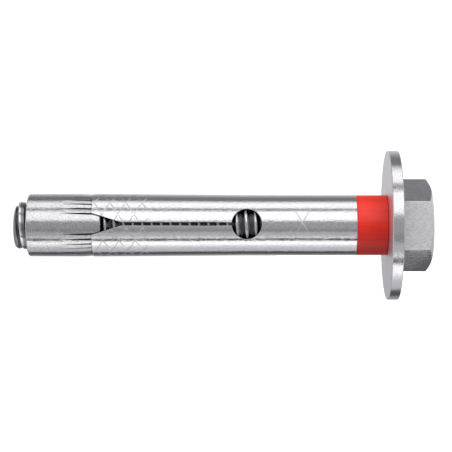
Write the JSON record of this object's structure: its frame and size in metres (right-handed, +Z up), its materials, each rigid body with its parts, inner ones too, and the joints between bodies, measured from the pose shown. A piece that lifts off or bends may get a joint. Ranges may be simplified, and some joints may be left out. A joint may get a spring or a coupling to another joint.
{
  "type": "sleeve anchor",
  "caption": "Sleeve anchor for masonry: a hexagon-head screw draws a fluted cone nut into a slotted steel sleeve, below a large washer and a plastic ring.",
  "frame": {"origin": "middle of the screw head's end face, on which the anchor stands", "axes": "+Z up the screw from head to tip, -Y out through the flat of the head on the side of the first slot"},
  "size_m": [0.0294, 0.0294, 0.0818],
  "materials": {
    "screw_steel": "zinc plated, satin",
    "washer_steel": "zinc plated, satin",
    "red_plastic": "smooth moulded",
    "sleeve_steel": "zinc plated, bright",
    "nut_steel": "zinc plated, satin"
  },
  "bodies": {
    "screw": {"hexagon_screw": "screw_steel"},
    "washer": {"washer": "washer_steel"},
    "ring": {"plastic_ring": "red_plastic"},
    "sleeve": {"expansion_sleeve": "sleeve_steel"},
    "nut": {"cone_nut": "nut_steel"}
  },
  "joints": [
    {"name": "washer_spin", "type": "hinge", "parent": "screw", "child": "washer", "pos_m": [0, 0, 0.0064], "axis": [0, 0, 1], "continuous": true},
    {"name": "ring_spin", "type": "hinge", "parent": "screw", "child": "ring", "pos_m": [0, 0, 0.0086], "axis": [0, 0, 1], "continuous": true},
    {"name": "sleeve_turn", "type": "hinge", "parent": "screw", "child": "sleeve", "pos_m": [0, 0, 0.0147], "axis": [0, 0, 1], "range_deg": [0, 293.48]},
    {"name": "cone_travel", "type": "slide", "parent": "sleeve", "child": "nut", "axis": [0, 0, 1], "range_m": [0, 0.0015]}
  ],
  "couplings": [
    {"joint": "cone_travel", "follows": "sleeve_turn", "m_per_rad": 0.00029285}
  ]
}
